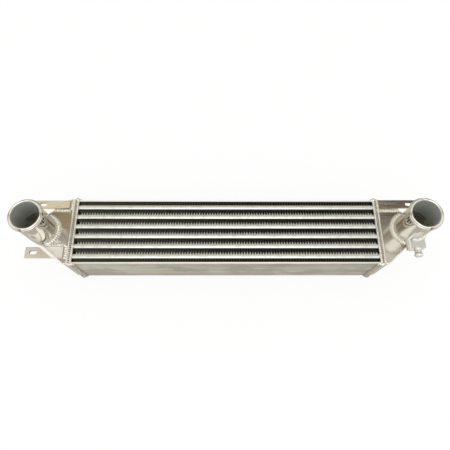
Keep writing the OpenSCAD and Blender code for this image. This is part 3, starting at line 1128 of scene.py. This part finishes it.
@dataclass(frozen=True)
class FittedCamera:
    """The photograph's camera, fitted to the part: angles in degrees, lengths in millimetres."""

    elevation: float = 68.93
    yaw: float = -1.38
    roll: float = 1.31
    sideways: float = -1.7
    upwards: float = 41.3
    distance: float = 798.1
    focal_px: float = 401.7
    frame_px: float = 450.0
    sensor_mm: float = 36.0

    def build(self, back_z: float) -> None:
        """Make the camera.

        Args:
            back_z: height of the core's back above the floor.
        """
        elevation, yaw, roll = (math.radians(a) for a in (self.elevation, self.yaw, self.roll))
        back = Vector((math.sin(yaw), -math.cos(yaw), 0)) * math.cos(elevation)
        back.z = math.sin(elevation)
        level = Vector((0, 0, 1)).cross(back).normalized()
        plumb = back.cross(level)
        right = level * math.cos(roll) + plumb * math.sin(roll)
        up = plumb * math.cos(roll) - level * math.sin(roll)
        place = (right * self.sideways + up * self.upwards + back * self.distance) * MM
        place.z += back_z
        data = bpy.data.cameras.new("camera")
        data.sensor_width = self.sensor_mm
        data.lens = self.sensor_mm * self.focal_px / self.frame_px
        camera = bpy.data.objects.new("camera", data)
        turn = Matrix((right, up, back)).transposed().to_4x4()
        camera.matrix_world = Matrix.Translation(place) @ turn
        bpy.context.collection.objects.link(camera)
        bpy.context.scene.camera = camera


@dataclass(frozen=True)
class Studio:
    """A white table, a room that is white near the camera and brown far off, and a soft lamp.

    The room's tones run from the camera's end to the far end, the corners' from the middle out.
    """

    floor_half: float = 4.0
    table_colour: str = "#fafaf8"
    table_mirrored: str = "#d6d0c4"
    table_roughness: float = 0.9
    table_glow: float = 0.85
    room_level: float = 1.2
    drift: float = 0.012
    sides_edge: tuple[float, float] = (-0.15, 0.15)
    overhead_edge: tuple[float, float] = (0.345, 0.30)
    corner: str = "#85755e"
    corner_share: Tones = (
        (0.47, "#000000"),
        (0.51, "#ffffff"),
        (0.58, "#ffffff"),
        (0.66, "#000000"),
    )
    overhead: Tones = (
        (0.0, "#f6faf8"),
        (0.25, "#f1f1ea"),
        (0.5, "#e8e5da"),
        (0.75, "#cfcbbf"),
        (1.0, "#a9a598"),
    )
    left_room: Tones = (
        (0.0, "#ffffff"),
        (0.16, "#efece4"),
        (0.24, "#c4bcaa"),
        (0.275, "#b3a689"),
        (0.29, "#957e57"),
        (0.40, "#957e57"),
        (0.45, "#e6e2d6"),
        (0.80, "#e6e2d6"),
        (1.0, "#bdb9ab"),
    )
    right_room: Tones = (
        (0.0, "#ffffff"),
        (0.24, "#ece8de"),
        (0.28, "#cbc5b8"),
        (0.31, "#c2bcae"),
        (0.335, "#43341f"),
        (0.50, "#43341f"),
        (0.55, "#e6e2d6"),
        (0.80, "#e6e2d6"),
        (1.0, "#bdb9ab"),
    )
    lamp_place: Point = (0.0, -0.9, 1.6)
    lamp_aim: Point = (0, 0, 0.05)
    lamp_side: float = 1.2
    lamp_watts: float = 4

    def build(self) -> None:
        """Make the table, the room and the lamp."""
        self.make_table()
        self.make_room()
        self.make_lamp()
        bpy.context.scene.view_settings.view_transform = "Standard"

    def make_table(self) -> None:
        """Make the table top: white to the camera, pale in mirrors, with the part's shadow."""
        half = self.floor_half
        corners = [(-half, -half, 0), (half, -half, 0), (half, half, 0), (-half, half, 0)]
        mesh = bpy.data.meshes.new("table")
        mesh.from_pydata(corners, [], [(0, 1, 2, 3)])
        table = bpy.data.objects.new("table", mesh)
        bpy.context.collection.objects.link(table)
        material = bpy.data.materials.new("white_table")
        material.use_nodes = True
        graph = Graph(material.node_tree)
        nodes = graph.tree.nodes
        paint = nodes["Principled BSDF"]
        paint.inputs["Base Color"].default_value = linear(self.table_colour)
        paint.inputs["Roughness"].default_value = self.table_roughness
        rays = graph.add("ShaderNodeLightPath").outputs
        tones = {0: rays["Is Glossy Ray"], 6: linear("#ffffff"), 7: linear(self.table_mirrored)}
        tone = graph.add("ShaderNodeMix", tones, data_type="RGBA").outputs[2]
        glow = graph.add("ShaderNodeEmission", {"Color": tone, "Strength": 1.0})
        mirrored = ("MAXIMUM", rays["Is Camera Ray"], rays["Is Glossy Ray"])
        seen = ("MAXIMUM", mirrored, rays["Is Transmission Ray"])
        shares = {0: ("MULTIPLY", seen, self.table_glow), 1: paint, 2: glow}
        mix = graph.add("ShaderNodeMixShader", shares)
        graph.feed(nodes["Material Output"].inputs["Surface"], mix)
        mesh.materials.append(material)

    def spread(self, graph: Graph, place: Node, tones: Tones) -> Node:
        """Spread tones over the room.

        Args:
            graph: the world's tree.
            place: where a direction points, from 0 to 1.
            tones: places and their colours.

        Returns:
            The node that gives the tone in that direction.
        """
        ramp = graph.add("ShaderNodeValToRGB", {0: place})
        stops = ramp.color_ramp.elements
        stops.remove(stops[1])
        for number, (position, colour) in enumerate(tones):
            stop = stops[0] if number == 0 else stops.new(position)
            stop.position = position
            stop.color = linear(colour)
        return ramp

    def make_room(self) -> None:
        """Make the room's light, which the mirroring metal shows. Plain surfaces see it white."""
        world = bpy.data.worlds.new("room")
        world.use_nodes = True
        bpy.context.scene.world = world
        graph = Graph(world.node_tree)
        graph.tree.nodes.clear()
        way = graph.add("ShaderNodeTexCoord").outputs["Generated"]
        axes = graph.add("ShaderNodeSeparateXYZ", {0: way}).outputs
        cloud = graph.add("ShaderNodeTexNoise", {"Vector": way, "Scale": 9.0, "Detail": 1.0})
        shift = graph.add("ShaderNodeMapRange", ranges(cloud, 0.3, 0.7, -self.drift, self.drift))
        far = graph.add("ShaderNodeMath", {0: axes["Y"], 1: shift}, operation="ADD")
        aside = graph.add("ShaderNodeMath", {0: axes["X"]}, operation="ABSOLUTE")
        half = graph.add("ShaderNodeMapRange", ranges(axes["X"], *self.sides_edge))
        middle = graph.add("ShaderNodeMapRange", ranges(aside, *self.overhead_edge))
        colour = self.spread(graph, far, self.left_room)
        for share, other in (
            (half, self.spread(graph, far, self.right_room)),
            (middle, self.spread(graph, far, self.overhead)),
            (self.spread(graph, aside, self.corner_share), linear(self.corner)),
        ):
            tones = {0: share, 6: colour, 7: other}
            colour = graph.add("ShaderNodeMix", tones, data_type="RGBA").outputs[2]
        rays = graph.add("ShaderNodeLightPath").outputs
        plain = ("MAXIMUM", rays["Is Camera Ray"], rays["Is Diffuse Ray"])
        room = graph.add("ShaderNodeBackground", {"Color": colour, "Strength": self.room_level})
        white = graph.add("ShaderNodeBackground", {"Color": (1, 1, 1, 1), "Strength": 1.0})
        mix = graph.add("ShaderNodeMixShader", {0: plain, 1: room, 2: white})
        graph.add("ShaderNodeOutputWorld", {"Surface": mix})

    def make_lamp(self) -> None:
        """Hang the square soft lamp and turn it to the part."""
        data = bpy.data.lights.new("window_lamp", "AREA")
        data.shape = "SQUARE"
        data.size = self.lamp_side
        data.energy = self.lamp_watts
        lamp = bpy.data.objects.new("window_lamp", data)
        lamp.location = self.lamp_place
        back = Vector(self.lamp_place) - Vector(self.lamp_aim)
        lamp.rotation_euler = back.to_track_quat("Z", "Y").to_euler()
        bpy.context.collection.objects.link(lamp)


def main() -> None:
    """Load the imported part, dress it, add the fins and beads, and set up the studio."""
    logging.basicConfig(level=logging.INFO, format="%(name)s: %(message)s")
    FRAME.update(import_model())
    core = Core()
    FittedCamera().build(core.back_z)
    Studio().build()
    core.build()
    front = core.front_z
    bright = WeldMetal("weld_filler", front_z=front, colour="#f8f5ec").build()
    # The dark strip under the seam's ripples is painted shade for the gaps between them
    soot_and_shade = {"colour": "#5f584b", "soot_and_shade": "#3a352c", "roughness": 0.4}
    shade_strip = WeldMetal("weld_shade_strip", front_z=front, **soot_and_shade).build()
    welder = Welder(weld_recipe(), bright, shade_strip)
    tanks = {side: EndTank(side, core, welder) for side in Side}
    for tank in tanks.values():
        tank.build()
    rubbed = {"colour": "#f2e9d6", "stain": "#d3c4a6", "roughness": 0.32}
    clean = {"colour": "#ece9e0", "roughness": 0.14}
    brushed = {"colour": "#efece5", "stain": "#d3cbbd", "roughness": 0.32, "grain": Grain.ALONG_Y}
    for word, side, way, wrapped, slot, look in (
        ("upper_left", Side.LEFT, -1, True, (-0.3345, 0.0515, front), rubbed),
        ("upper_right", Side.RIGHT, -1, False, (0.3345, 0.0515, front + 3 * MM), clean),
        ("lower_left", Side.LEFT, 1, True, (-0.338, -0.040, front), brushed),
    ):
        metal = RolledSheet(f"strap_sheet_{word}", slot=slot, **look).build()
        Strap(word, side, way, wrapped, core, welder).build(metal)
    SensorBoss(tanks[Side.RIGHT], welder).build()


if __name__ == "__main__":
    main()
